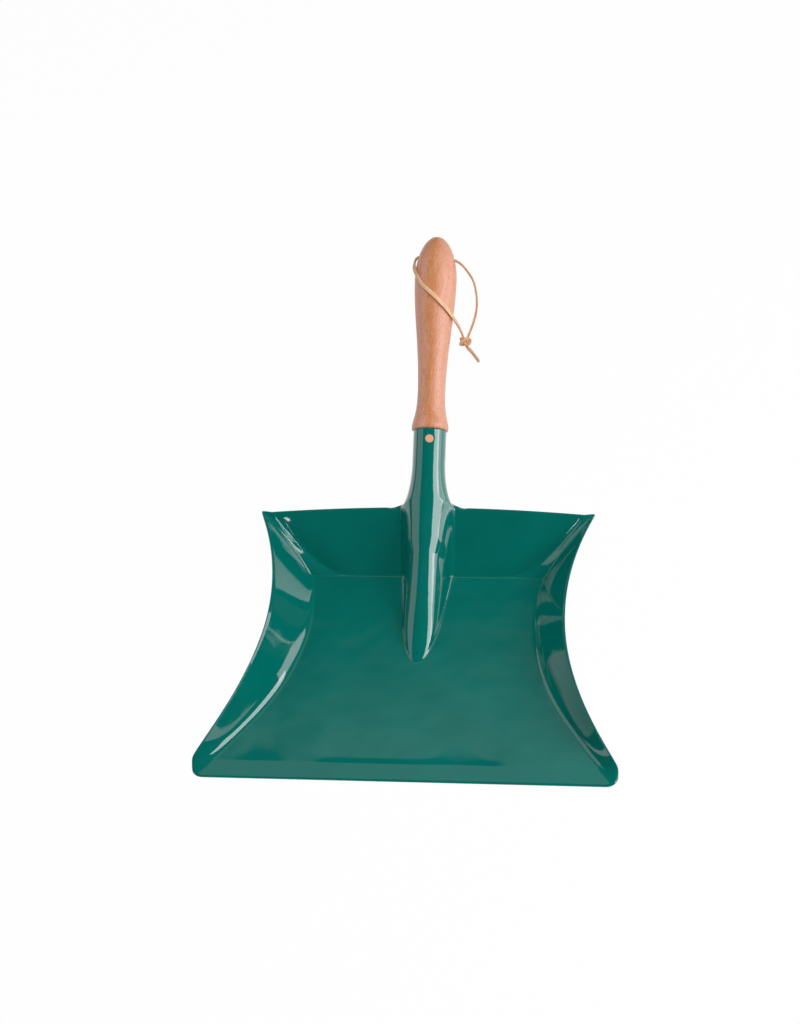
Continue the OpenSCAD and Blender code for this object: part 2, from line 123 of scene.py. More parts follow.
leather_edge = (0.45, 0.20, 0.08, 1)


def unit(vectors):
    """The vectors divided by their lengths."""
    return vectors / np.linalg.norm(vectors, axis=-1, keepdims=True)


def averaged(points, axis=0):
    """All but the outer two along the axis: half of each one and a quarter of both its neighbours."""
    p = np.moveaxis(points, axis, 0)
    return np.moveaxis((p[:-2] + 2 * p[1:-1] + p[2:]) / 4, 0, axis)


def circle(count):
    """Angles of this many even steps, once round."""
    return 2 * np.pi * np.arange(count) / count


def curve(route):
    """Catmull-Rom curve through the route's points, which is then eased between its two ends."""
    route = np.array(route, float)
    ends = np.vstack([2 * route[0] - route[1], route, 2 * route[-1] - route[-2]])
    a, b, c, d = [ends[i:len(ends) - 3 + i, None] for i in range(4)]
    f = (np.arange(lace_steps) / lace_steps)[None, :, None]
    points = (b + (c - a) / 2 * f + (2 * a - 5 * b + 4 * c - d) / 2 * f ** 2
              + (3 * b - a - 3 * c + d) / 2 * f ** 3)
    line = np.vstack([points.reshape(-1, 3), route[-1:]])
    for _ in range(lace_easing):
        line[1:-1] = averaged(line)
    return line


def lace_faces(line, tangent):
    """Direction in which the lace's flat side looks: away from the handle's axis, square to the lace."""
    out = line - axis_foot
    along = np.minimum(out @ axis_dir, swell_s)
    out = out - along[:, None] * axis_dir
    return unit(out - np.sum(out * tangent, axis=1, keepdims=True) * tangent)


def ring_of(half_w, half_t, sides, squareness):
    """Superellipse of these half sizes: its points as shares across and out, once round."""
    a = circle(sides) + np.pi / sides
    across = half_w * np.sign(np.cos(a)) * np.abs(np.cos(a)) ** (2 / squareness)
    out = half_t * np.sign(np.sin(a)) * np.abs(np.sin(a)) ** (2 / squareness)
    return across, out


def grid_quads(rows, cols, closed_rows=False, closed_cols=False):
    """Corner numbers of the quads of a grid of points, rows times cols, joined up where it is closed."""
    quad_rows, quad_cols = rows - (not closed_rows), cols - (not closed_cols)
    r, c = np.divmod(np.arange(quad_rows * quad_cols), quad_cols)
    next_r, next_c = (r + 1) % rows, (c + 1) % cols
    return np.column_stack([r * cols + c, r * cols + next_c, next_r * cols + next_c, next_r * cols + c])


def fan(tip, ring):
    """Triangles from one point's number to a closed ring of numbers."""
    return np.column_stack([np.full(len(ring), tip), ring, np.roll(ring, -1)]).tolist()


def about_x(angle):
    """Matrix of a turn about the X axis."""
    return np.array([[1, 0, 0], [0, np.cos(angle), -np.sin(angle)], [0, np.sin(angle), np.cos(angle)]])


def make_piece(name, points, faces, material):
    """A smooth piece on the only body, from points in millimetres and lists of their numbers."""
    mesh = bpy.data.meshes.new(name)
    mesh.from_pydata((np.asarray(points) / 1000).tolist(), [], [list(face) for face in faces])
    mesh.shade_smooth()
    mesh.materials.append(material)
    piece = new_object(name, mesh)
    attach(piece, "root")
    return piece


def lay_uv(piece, u, v):
    """Gives the piece a UV map from one u and one v for each of its points."""
    corners = np.empty(len(piece.data.loops), np.int32)
    piece.data.loops.foreach_get("vertex_index", corners)
    layer = piece.data.uv_layers.new(name="along")
    layer.data.foreach_set("uv", np.column_stack([u[corners], v[corners]]).ravel())


def nodes_of(name):
    """An empty material, its node list and its link list."""
    material = bpy.data.materials.new(name)
    material.use_nodes = True
    material.node_tree.nodes.clear()
    return material, material.node_tree.nodes, material.node_tree.links


def node(nodes, kind, **sockets):
    """A new node of this kind, with these inputs set. A name that is an attribute of it is set as that."""
    made = nodes.new(kind)
    for key, value in sockets.items():
        if hasattr(made, key):
            setattr(made, key, value)
        else:
            made.inputs[key.replace("_", " ")].default_value = value
    return made


def principled(name):
    """A material with a Principled shader, its nodes, its links, the shader and its coordinates."""
    material, nodes, links = nodes_of(name)
    shader = nodes.new("ShaderNodeBsdfPrincipled")
    output = nodes.new("ShaderNodeOutputMaterial")
    links.new(shader.outputs["BSDF"], output.inputs["Surface"])
    return material, nodes, links, shader, nodes.new("ShaderNodeTexCoord")


def noise(nodes, links, vector, scale, detail):
    """Noise on this vector: its scale in features to a metre, and its finer layers."""
    made = node(nodes, "ShaderNodeTexNoise", Scale=scale, Detail=detail)
    links.new(vector, made.inputs["Vector"])
    return made.outputs["Fac"]


def ramp(nodes, links, share, *stops):
    """A colour ramp on this share through (place, colour) stops, where one number stands for a grey."""
    made = nodes.new("ShaderNodeValToRGB")
    elements = made.color_ramp.elements
    elements.remove(elements[1])
    elements[0].position = stops[0][0]
    for index, (place, colour) in enumerate(stops):
        stop = elements.new(place) if index else elements[0]
        stop.color = (*np.broadcast_to(colour, 3).tolist(), 1)
    links.new(share, made.inputs["Fac"])
    return made.outputs["Color"]


def blend(nodes, links, share, a, b, way="MIX"):
    """Colours a and b mixed by this share, in this way. Each of the three is a socket or a value."""
    made = nodes.new("ShaderNodeMix")
    made.data_type, made.blend_type = "RGBA", way
    for place, value in (("Factor", share), ("A", a), ("B", b)):
        if isinstance(value, (float, tuple)):
            made.inputs[place].default_value = value
        else:
            links.new(value, made.inputs[place])
    return made.outputs["Result"]


def bumped(nodes, links, height, strength, distance, under=None):
    """Normals bumped by this height, over those of another bump if they are given."""
    bump = node(nodes, "ShaderNodeBump", Strength=strength, Distance=distance)
    links.new(height, bump.inputs["Height"])
    if under:
        links.new(under, bump.inputs["Normal"])
    return bump.outputs["Normal"]


def tan_leather():
    """Light tan leather: a mottled smooth grain side, cut edges darker, fine pores as bump."""
    material, nodes, links, shader, place = principled("tan_leather")
    shader.inputs["Roughness"].default_value = 0.5
    shader.inputs["Specular IOR Level"].default_value = 0.4
    mottle = noise(nodes, links, place.outputs["Object"], 260.0, 4.0)
    tone = ramp(nodes, links, mottle, (0.3, leather_tan), (0.7, leather_pale))
    across = nodes.new("ShaderNodeSeparateXYZ")
    links.new(place.outputs["UV"], across.inputs["Vector"])
    edge = ramp(nodes, links, across.outputs["Y"], (0.86, 0), (0.99, 0.6))
    links.new(blend(nodes, links, edge, tone, leather_edge), shader.inputs["Base Color"])
    pores = noise(nodes, links, place.outputs["Object"], 1400.0, 2.0)
    links.new(bumped(nodes, links, pores, 0.25, 0.0002), shader.inputs["Normal"])
    return material


leather = tan_leather()


def lace_strip(name, route, stands_for):
    """The lace's section carried along a route, with flat caps. Returns the strip, its path and length."""
    line = curve(route)
    tangent = unit(np.gradient(line, axis=0))
    face = lace_faces(line, tangent)
    side = np.cross(tangent, face)
    across, out = ring_of(lace_w / 2, lace_t / 2, lace_sides, lace_squareness)
    rings = line[:, None] + across[None, :, None] * side[:, None] + out[None, :, None] * face[:, None]
    rows = len(line)
    faces = [*grid_quads(rows, lace_sides, closed_cols=True)[:, ::-1].tolist(),
             list(range(lace_sides)), list(range(rows * lace_sides - 1, (rows - 1) * lace_sides - 1, -1))]
    strip = make_piece(name, rings.reshape(-1, 3), faces, leather)
    length = np.concatenate([[0], np.cumsum(np.linalg.norm(np.diff(line, axis=0), axis=1))])
    lay_uv(strip, np.repeat(length / lace_w, lace_sides), np.tile(np.abs(across) / (lace_w / 2), rows))
    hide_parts(stands_for)
    return strip, line / 1000, length[-1] / 1000


def overhand_knot():
    """A trefoil, the overhand knot with its ends joined: twice round a ring, in and out of it thrice."""
    a = circle(knot_rings)
    reach = knot_r * (1 + knot_swing * np.cos(3 * a))
    depth = knot_depth * knot_r * np.sin(3 * a)
    line = np.column_stack([reach * np.cos(2 * a), reach * np.sin(2 * a), depth])
    tangent = unit(np.roll(line, -1, axis=0) - np.roll(line, 1, axis=0))
    from_ring = line - knot_r * np.column_stack([np.cos(2 * a), np.sin(2 * a), 0 * a])
    up = unit(from_ring - np.sum(from_ring * tangent, axis=1, keepdims=True) * tangent)
    side = np.cross(up, tangent)
    across, out = ring_of(knot_half_w, knot_half_t, lace_sides, knot_squareness)
    points = line[:, None] + across[None, :, None] * side[:, None] + out[None, :, None] * up[:, None]
    placed = points.reshape(-1, 3) @ about_x(np.radians(knot_tip)).T + knot_centre
    faces = grid_quads(knot_rings, lace_sides, closed_rows=True, closed_cols=True)
    knot = make_piece("lace_knot_tied", placed, faces, leather)
    lay_uv(knot, np.repeat(a, lace_sides), np.tile(np.abs(across) / np.abs(across).max(), knot_rings))
    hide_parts("lace_knot")
    return knot


knot = overhand_knot()
loop_left, left_path, left_len = lace_strip("lace_loop_left", left_route, "lace_left")
loop_right, right_path, right_len = lace_strip("lace_loop_right", right_route, "lace_right")
lace_end = lace_strip("lace_end", tail_route, "lace_tail")[0]

# ---------------------------------------------------------------- pan
# One sheet of 0.9 mm steel, pressed and folded: a floor with a low lip, two side walls, a back wall with
# soft gussets, and a hollow ridge that rolls up into the handle's socket. It is enamelled after forming.
sheet_t = 0.9
half_mouth = 143.5
crease_inset = 6
half_waist = 77.5
waist_y = 138
crease_r = 161
floor_len = 172
corner_r = 8
corner_fade = 30
lip_len = 13
lip_rise = 1.0
lip_runout = 18
crest_run = 110
crest_fade = 1.5
dent_share = 0.6
left_dent_x = -98
left_dent_w = 11
long_dent_from = -55
long_dent_to = 62
long_dent_edge = 5
wide_x = 36
wide_w = 13
rim_h = 33.5
back_lean = 36
rim_bow = 5.5
tip_x = 110.5
side_h = 26.5
side_run = 87
half_rim_waist = 101.5
rim_waist_y = 128
tip_w = 7
gusset_from = 0.55
bend_soft = 0.02
ridge_w = 39
ridge_taper = 0.09
nose_y = 97
nose_len = 35
socket_r = 11.65
socket_len = 53.3
roll_len = 31
crown_power = 1.05
flare_power = 0.68
settle_power = 1.9
flare_w = 6
seam_gap = 0.6
axis_h = 35.5
enamel_deep = (0.0, 0.160, 0.132)
enamel_light = (0.0, 0.182, 0.151)
pin_s = 46.3
pin_r = 3
rim_y = floor_len + back_lean
tip_y = rim_y - rim_bow

# The creases: straight from the mouth, then the waist's arc at a tangent.
crease_x0 = half_mouth - crease_inset
crease_cx = half_waist + crease_r
crease_reach = np.hypot(crease_cx - crease_x0, waist_y)
crease_angle = np.arctan2(waist_y, crease_cx - crease_x0) + np.arcsin(crease_r / crease_reach)
crease_straight = np.sqrt(crease_reach ** 2 - crease_r ** 2) * np.sin(crease_angle)


def crease_x(y):
    """Half the floor's width at y."""
    arc = crease_cx - np.sqrt(np.maximum(crease_r ** 2 - (waist_y - y) ** 2, 0))
    return np.where(y < crease_straight, crease_x0 + y / np.tan(crease_angle), arc)


# The side rims: the front corner's arc, then one arc round the waist at a tangent to it.
corner_x = half_mouth - corner_r
rim_a = half_rim_waist - corner_x
rim_b = rim_waist_y - corner_r
rim_curve_r = (rim_a ** 2 + rim_b ** 2 - corner_r ** 2) / (2 * (corner_r - rim_a))
corner_end = corner_r + corner_r * rim_b / (rim_curve_r + corner_r)
side_rim_end = tip_y + 1
side_at_corner = floor_len + 11
climb_power = 0.65


def rim_x(y):
    """Half the distance between the side rims at y."""
    corner = corner_x + np.sqrt(np.maximum(corner_r ** 2 - (y - corner_r) ** 2, 0))
    arc = half_rim_waist + rim_curve_r - np.sqrt(rim_curve_r ** 2 - (rim_waist_y - y) ** 2)
    return np.where(y < corner_end, corner, arc)


def rim_z(y):
    """Height of the side rim at y: a quick rounded climb, then a slow rise to the tip."""
    climb = 1 - (1 - np.clip((y - corner_r) / side_run, 0, 1)) ** 2
    slow_rise = (rim_h - side_h) * (y / side_rim_end) ** 2 * climb
    return sheet_t + (side_h - sheet_t) * climb ** climb_power + slow_rise


def rim_point(y):
    """Points of the right side rim at a column of distances y."""
    return np.hstack([rim_x(y), y, rim_z(y)])


def crest(y):
    """Height of the low crest that sets the lip off from the floor: it dies away over a hand's breadth."""
    behind = np.maximum(0, y - lip_len)
    return lip_rise * np.minimum(y / lip_len, 1) * np.maximum(0, 1 - behind / crest_run) ** crest_fade


def dents(x, y):
    """Depth of two shallow dents behind the crest: a short one on the left, and a long one that widens.

    In them, most of the crest drops at once: the drop's run is short, and longer about the dents' middles.
    """
    behind = np.maximum(0, y - lip_len)
    left_dent = np.exp(-((x - left_dent_x) / left_dent_w) ** 2)
    from_x, to_x = [np.tanh((x - end_x) / long_dent_edge) for end_x in (long_dent_from, long_dent_to)]
    long_dent = (from_x - to_x) / 2
    widening = np.exp(-((x - wide_x) / wide_w) ** 2)
    drop = lip_runout * (0.28 + 0.62 * left_dent + 0.72 * widening)
    dented = np.minimum(1, 1.5 * left_dent + long_dent)
    left_over = np.maximum(0, 1 - behind / crest_run)
    depth = dent_share * lip_rise * dented * (left_over ** 2.5 - np.maximum(0, 1 - behind / drop) ** 2)
    return np.where(y > lip_len, np.maximum(0, depth), 0)


def front_y(x):
    """Distance of the mouth's edge behind y = 0: none, but round at the two corners."""
    over = np.maximum(np.abs(x) - corner_x, 0)
    return corner_r - np.sqrt(np.maximum(corner_r ** 2 - over ** 2, 0))


# The ridge's crown leaves the socket's top line and flattens towards the nose.
crown_y0 = rim_y - socket_r * np.sin(handle_tilt)
crown_z0 = axis_h + socket_r * np.cos(handle_tilt)
crown_run = crown_y0 - nose_y
crown_bend = (crown_run * np.tan(handle_tilt) - crown_z0 + sheet_t) / crown_run ** 2
foot_q = 0.96
crown_r = 11.5
ellipse = 0.5
bell = 1.4
foot_end = foot_q + 2 * (1 - foot_q ** 2) / foot_q


def ridge_line(y):
    """Half the ridge's width at y."""
    return ridge_w / 2 - ridge_taper * (rim_y - np.maximum(y, nose_y))


def arch(q, power):
    """Height of the ridge's section at the share q of its half width: 1 - q squared, to a power.

    The power is a half for an ellipse and higher for a bell. A fillet at the foot leaves it at a tangent.
    """
    fillet = (1 - foot_q ** 2) / (power * foot_q)
    foot = (1 - foot_q ** 2) ** power * np.clip(1 - (q - foot_q) / fillet, 0, 1) ** 2
    return np.where(q < foot_q, np.maximum(1 - q ** 2, 0) ** power, foot)


def with_ridge(x, y, z):
    """The sheet's point lifted to the ridge, whose crown keeps one radius as the wall climbs beside it."""
    before = np.maximum(0, crown_y0 - y)
    crown = crown_z0 - (crown_y0 - y) * np.tan(handle_tilt) + crown_bend * before ** 2
    nose = np.sqrt(np.clip(1 - (1 - np.minimum(1, (y - nose_y) / nose_len)) ** 2, 0, 1))
    above = np.maximum(0.01, crown - z)
    power = np.clip(ridge_line(y) ** 2 / (2 * crown_r * above), ellipse, bell)
    power = np.where(y > floor_len, power, ellipse)
    lift = above * arch(np.abs(x) / np.maximum(0.01, ridge_line(y) * nose), power)
    return np.stack(np.broadcast_arrays(x, y, z + np.where(y > nose_y, lift, 0)), axis=-1)


def floor_point(x, y):
    """Point of the floor's upper side. The mouth's round corners fade out over the rows behind them."""
    return with_ridge(x, y + front_y(x) * np.maximum(0, 1 - y / corner_fade) ** 2, sheet_t + crest(y))


def wall_share(t, u):
    """Share of its height that the back wall has reached at t up the wall and u out from the middle."""
    w = np.maximum(0, (u - gusset_from) / (1 - gusset_from))
    line = bend_soft + (1 - 2 * bend_soft) * w ** 4
    x = t - line
    bend = (x + bend_soft) ** 2 / (4 * bend_soft)
    ramped = np.where(x < -bend_soft, 0, np.where(x > bend_soft, x, bend))
    return w * w * t + (1 - w * w) * ramped / (1 - line)


def fold(t):
    """The fold between side wall and back wall, from the floor's corner up to the tip."""
    return (crease_x(floor_len) * (1 - t) + tip_x * t, floor_len * (1 - t) + tip_y * t,
            sheet_t * (1 - t) + rim_h * t)


def wall_point(x, t):
    """Point of the back wall's upper side."""
    u = np.abs(x) / fold(t)[0]
    y = floor_len + t * (back_lean - rim_bow * u ** 2)
    return with_ridge(x, y, sheet_t + (rim_h - sheet_t) * wall_share(t, u))


def side_points(foot, rim, softness, at_corner, pull):
    """Side wall from crease to rim: a curve of the second degree, drawn to its control by the pull."""
    lean_x = softness + (1 - softness) * at_corner
    lean_y = softness + (corner_lean - softness) * at_corner
    control = foot + (rim - foot) * np.stack([lean_x, lean_y, 0 * lean_x], axis=-1)
    reach = np.linalg.norm(rim - foot, axis=1, keepdims=True)
    start = np.linalg.norm(control - foot, axis=1, keepdims=True)
    near = near_crease * np.arange(1, near_columns + 1)[None] / reach
    far = near[:, -1:] + (1 - near[:, -1:]) * np.arange(1, side_columns + 1)[None] / side_columns
    distance = np.hstack([near, far]) * reach
    slack = reach - 2 * start
    slack = np.where(np.abs(slack) < 0.01, 0.01, slack)
    w = (-start + np.sqrt(np.maximum(start ** 2 + distance * slack, 0))) / slack
    w = np.minimum(w / w[:, -1:], 1)[:, :, None]
    parts = [(1 - w) ** 2, 2 * pull * w * (1 - w), w ** 2]
    summed = parts[0] * foot[:, None] + parts[1] * control[:, None] + parts[2] * rim[:, None]
    return summed / (parts[0] + parts[1] + parts[2])


# Columns of the sheet's grid, from the middle outwards: ridge and flare, panel, crease, side wall.
wall_pull = 2.0
pull_at_mouth = 0.4
pull_run = 110
wall_softness = 0.06
mouth_softness = 0.45
corner_lean = 0.2
near_crease = 0.4
near_columns = 6
side_columns = 22
panel_columns = 40
crease_easing = 5
lip_easing = 3
tang_half = 11
hole_step = 0.75
hole_cells = 7
pin_cells = 2
foot_j = 9
ridge_q = [0, 0.15, 0.3, 0.45, 0.6, 0.74, 0.86, 0.95, 1.03, foot_end]
seam_angle = np.pi - np.arcsin((seam_gap / 2 + sheet_t / 2) / socket_r)
hole_j = hole_step / socket_r / seam_angle * tang_half
even_cells = hole_cells + pin_cells
tang_j = np.concatenate([hole_j * np.arange(even_cells), np.linspace(hole_j * even_cells, tang_half, 33)])


def eased(values):
    """The rows of values, each averaged with its neighbours, with both ends kept."""
    return np.hstack([values[:, :1], averaged(values, 1), values[:, -1:]])


def spine_columns(line, edge):
    """Distances from the middle of all columns up to the crease, for rows of these half widths."""
    foot = line * foot_end
    knots_j = np.arange(tang_half + 1)
    ridge_x = np.interp(tang_j, knots_j, ridge_q + [0, 0])[None] * line
    beyond = foot - ridge_x + flare_w * (tang_j - foot_j) / 2
    ridge_x = ridge_x + np.where(tang_j > foot_j, beyond, 0)
    ridge_x = eased(eased(ridge_x))
    last = edge - near_crease * near_columns
    share = np.arange(1, panel_columns + 1)[None] / panel_columns
    panel = ridge_x[:, -1:] + (last - ridge_x[:, -1:]) * share
    crease = last + near_crease * np.arange(1, near_columns + 1)[None]
    return np.hstack([ridge_x, panel, crease])


def stretch(a, b, n):
    """n even steps from a to b, without a itself."""
    return a + (b - a) * np.arange(1, n + 1) / n


floor_rows = np.concatenate([
    [0], stretch(0, lip_len - 2, 7), stretch(lip_len - 2, lip_len + 2, 10),
    stretch(lip_len + 2, lip_len + lip_runout, 16), stretch(lip_len + lip_runout, nose_y - 2, 22),
    stretch(nose_y - 2, nose_y + 8, 16), stretch(nose_y + 8, nose_y + nose_len, 14),
    stretch(nose_y + nose_len, floor_len - 0.3, 18), [floor_len]])[:, None]
wall_rows = np.concatenate([stretch(0, 0.1, 10), stretch(0.1, 0.3, 8), stretch(0.3, 1, 14)])[:, None]


def half_sheet():
    """One half of the pan's upper side as a grid of points, from the mouth to the back rim."""
    edge = crease_x(floor_rows)
    spine = floor_point(spine_columns(ridge_line(floor_rows), edge), floor_rows)
    rim_at = corner_r + (side_at_corner - corner_r) * floor_rows / floor_len
    rim = rim_point(rim_at)
    softness = (wall_softness + mouth_softness * (1 - floor_rows / floor_len) ** 2)[:, 0]
    at_corner = (np.maximum(0, 1 - floor_rows / (4 * corner_r)) ** 2)[:, 0]
    pull = pull_at_mouth + (1 - pull_at_mouth) * np.minimum(1, floor_rows / pull_run)
    pull = wall_pull * pull[:, :, None]
    lower = np.concatenate([spine, side_points(spine[:, -1], rim, softness, at_corner, pull)], axis=1)

    edge = fold(wall_rows)[0]
    spine = wall_point(spine_columns(ridge_line(floor_len + back_lean * wall_rows), edge), wall_rows)
    rim_at = side_at_corner + (side_rim_end - side_at_corner) * wall_rows
    rim = rim_point(rim_at)
    rim = rim + (np.array([tip_x + tip_w, side_rim_end, rim_h]) - rim) * wall_rows ** 3
    none = np.zeros(len(wall_rows))
    soft = wall_softness * (1 - wall_rows[:, 0]) ** 2
    upper = np.concatenate([spine, side_points(spine[:, -1], rim, soft, none, wall_pull)], axis=1)
    return np.concatenate([lower, upper])


def rounded_creases(half):
    """Rounds the crease of every row, and the lip's bend, by averages of the points beside them."""
    first = len(tang_j) + panel_columns - 1
    last = first + 2 * near_columns
    for _ in range(crease_easing):
        half[:, first:last] = averaged(half[:, first - 1:last + 1], 1)
    bend = np.searchsorted(floor_rows[:, 0], lip_len)
    for _ in range(lip_easing):
        half[bend - 4:bend + 5] = averaged(half[bend - 5:bend + 6])
    return half


def on_axis(s, a, r):
    """Point at the distance r from the handle's axis, s beyond the rim and at the angle a from its top."""
    out = np.stack([np.sin(a), -np.cos(a) * np.sin(handle_tilt), np.cos(a) * np.cos(handle_tilt)], axis=-1)
    along = np.asarray(s)[..., None] * axis_dir
    return np.array([0, rim_y, axis_h]) + along + np.asarray(r)[..., None] * out


half = rounded_creases(half_sheet())
half[:, 0, 0] = 0
mirrored = half[:, :0:-1] * [-1, 1, 1]
sheet = np.concatenate([mirrored, half], axis=1)
floor_part = sheet[:len(floor_rows)]
floor_part[:, :, 2] -= dents(floor_part[:, :, 0], floor_part[:, :, 1])
sheet_rows, sheet_cols = sheet.shape[:2]
middle = (sheet_cols - 1) // 2
tang_cols = np.arange(middle - len(tang_j) + 1, middle + len(tang_j))

# The tang: the ridge's open end rolls up into the closed socket. About the pin's hole its grid has even
# steps, hole_cells of them each way, and the quads within hole_edge steps of the middle are left out.
hole_edge = 4
hole_half = hole_step * hole_cells
tang_s = np.concatenate([roll_len * stretch(0, 1, 30) ** 1.5, stretch(roll_len, pin_s - hole_half, 6),
                         stretch(pin_s - hole_half, pin_s + hole_half, 2 * hole_cells),
                         [socket_len - 0.35, socket_len]])[:, None]
tang_a = np.concatenate([-tang_j[:0:-1], tang_j])[None] * seam_angle / tang_half
pin_gap = 0.05
rim_easing = 4


def round_the_hole(p, q, step, radius):
    """Grid lines about a hole's middle: within hole_cells steps, squares turn into round ones."""
    p, q = np.broadcast_arrays(p, q)
    ring = np.maximum(np.abs(p), np.abs(q))
    inside = (ring < step * hole_cells - 1e-6) & (ring > 1e-6)
    ring = np.where(inside, ring, 1)
    share = np.clip((ring - step * hole_edge) / (step * (hole_cells - hole_edge)), 0, 1)
    long_way = np.where(inside, np.hypot(p, q), 1)
    reach = radius / long_way * (1 - share) + step * hole_cells / ring * share
    return np.where(inside, p * reach, p), np.where(inside, q * reach, q)


def in_square(quads, width, row, col):
    """Whether each of a grid's quads, this many to a row of them, is within hole_edge of a grid point."""
    quad_row, quad_col = np.divmod(np.arange(len(quads)), width)
    return (np.abs(quad_row + 0.5 - row) < hole_edge) & (np.abs(quad_col + 0.5 - col) < hole_edge)


# Row and column steps once round such a square.
step, at_edge = np.arange(-hole_edge, hole_edge), np.full(2 * hole_edge, hole_edge)
walk_rows, walk_cols = np.hstack([(step, -at_edge), (at_edge, step), (-step, at_edge), (-at_edge, -step)])
pin_a = pin_cells * hole_step / socket_r
hole_p, hole_q = round_the_hole(tang_s - pin_s, (tang_a - pin_a) * socket_r, hole_step,
                                pin_r + pin_gap + sheet_t / 2)
roll_power = crown_power + (flare_power - crown_power) * np.abs(tang_a) / seam_angle
roll_share = (1 - (1 - np.minimum(1, tang_s / roll_len) ** roll_power) ** settle_power)[:, :, None]
leaving = unit(sheet[-1, tang_cols] - sheet[-3, tang_cols])
straight_on = sheet[-1, tang_cols][None] + tang_s[:, :, None] * leaving
round_socket = on_axis(pin_s + hole_p, pin_a + hole_q / socket_r, socket_r)
tang = straight_on * (1 - roll_share) + round_socket * roll_share
rows_below, rows_above = 6, 8
joined = np.concatenate([sheet[-rows_below:, tang_cols], tang[:rows_above]])
softened = np.interp(np.abs(tang_a) / seam_angle, (0.575, 0.825), (1, 0))[:, :, None]
for _ in range(rim_easing):
    joined[1:-1] += softened * (averaged(joined) - joined[1:-1])
sheet[-rows_below:, tang_cols] = joined[:rows_below]
tang[:rows_above] = joined[rows_below:]

# All quads of the sheet, and its free edges, once round each.
tang_width = len(tang_cols)
pin_row = 1 + int(np.argmin(np.abs(tang_s[:, 0] - pin_s)))
pin_col = tang_width // 2 + pin_cells
upper_side = np.concatenate([sheet.reshape(-1, 3), tang.reshape(-1, 3)])
sheet_quads = grid_quads(sheet_rows, sheet_cols)
new_numbers = sheet_rows * sheet_cols + np.arange(tang.shape[0] * tang_width)
tang_numbers = np.vstack([(sheet_rows - 1) * sheet_cols + tang_cols, new_numbers.reshape(-1, tang_width)])
tang_quads = tang_numbers.ravel()[grid_quads(len(tang_numbers), tang_width)]
quads = np.vstack([sheet_quads, tang_quads[~in_square(tang_quads, tang_width - 1, pin_row, pin_col)]])
sheet_numbers = np.arange(sheet_rows * sheet_cols).reshape(sheet_rows, sheet_cols)
outer_edge = np.concatenate([sheet_numbers[0], sheet_numbers[1:, -1],
                             sheet_numbers[-1, -2:tang_cols[-1]:-1], tang_numbers[:, -1],
                             tang_numbers[-1, -2:0:-1], tang_numbers[::-1, 0],
                             sheet_numbers[-1, tang_cols[0] - 1::-1], sheet_numbers[-2:0:-1, 0]])
hole_loop = tang_numbers[pin_row + walk_rows, pin_col + walk_cols]


def skin_normals(points, faces):
    """Each point's normal on the open sheet."""
    mesh = bpy.data.meshes.new("open_sheet")
    mesh.from_pydata(points.tolist(), [], faces.tolist())
    normals = np.empty(len(points) * 3, np.float32)
    mesh.vertex_normals.foreach_get("vector", normals)
    bpy.data.meshes.remove(mesh)
    return normals.reshape(-1, 3).astype(float)


def rounded_edge(points, normals, loop, first_number, segments=4):
    """Half round along a free edge, from the upper side over to the lower: its points and its quads."""
    tangent = unit(np.roll(points[loop], -1, axis=0) - np.roll(points[loop], 1, axis=0))
    out = unit(np.cross(tangent, normals[loop]))
    middle_line = points[loop] - sheet_t / 2 * normals[loop]
    turn = np.pi * np.arange(1, segments) / segments
    turned = (np.cos(turn)[None, :, None] * normals[loop][:, None]
              + np.sin(turn)[None, :, None] * out[:, None])
    rings = middle_line[:, None] + sheet_t / 2 * turned
    numbers = first_number + np.arange(len(loop) * (segments - 1)).reshape(len(loop), -1)
    numbers = np.column_stack([loop, numbers, loop + len(points)])
    return rings.reshape(-1, 3), numbers.ravel()[grid_quads(len(loop), segments + 1, closed_rows=True)]


def enamel():
    """Deep green stoved enamel: a clear gloss over the colour, a wavy sheet and fine orange peel."""
    material, nodes, links, shader, place = principled("green_enamel")
    shader.inputs["Coat Weight"].default_value = 1.0
    shader.inputs["Coat Roughness"].default_value = 0.02
    cloud, wipe, waves, peel = [noise(nodes, links, place.outputs["Object"], scale, detail)
                                for scale, detail in ((22.0, 3.0), (60.0, 4.0), (45.0, 1.0), (420.0, 2.0))]
    tone = ramp(nodes, links, cloud, (0.3, enamel_deep), (0.7, enamel_light))
    links.new(tone, shader.inputs["Base Color"])
    links.new(ramp(nodes, links, wipe, (0.35, 0.045), (0.75, 0.10)), shader.inputs["Roughness"])
    sheet_normal = bumped(nodes, links, waves, 1.0, 0.0004)
    links.new(bumped(nodes, links, peel, 0.05, 0.0001, sheet_normal), shader.inputs["Normal"])
    return material


normals = skin_normals(upper_side, quads)
lower_side = upper_side - sheet_t * normals
count = len(upper_side)
rim_points, rim_quads = rounded_edge(upper_side, normals, outer_edge, 2 * count)
hole_points, hole_quads = rounded_edge(upper_side, normals, hole_loop, 2 * count + len(rim_points))
pan_points = np.concatenate([upper_side, lower_side, rim_points, hole_points])
mouth_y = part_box("pan")[0][1] * 1000
pan_points[:, 1] += mouth_y
pan_faces = np.vstack([quads, quads[:, ::-1] + count, rim_quads, hole_quads])
used, pan_faces = np.unique(pan_faces, return_inverse=True)
pan = make_piece("pan_enamelled", pan_points[used], pan_faces.reshape(-1, 4), enamel())
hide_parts("pan")

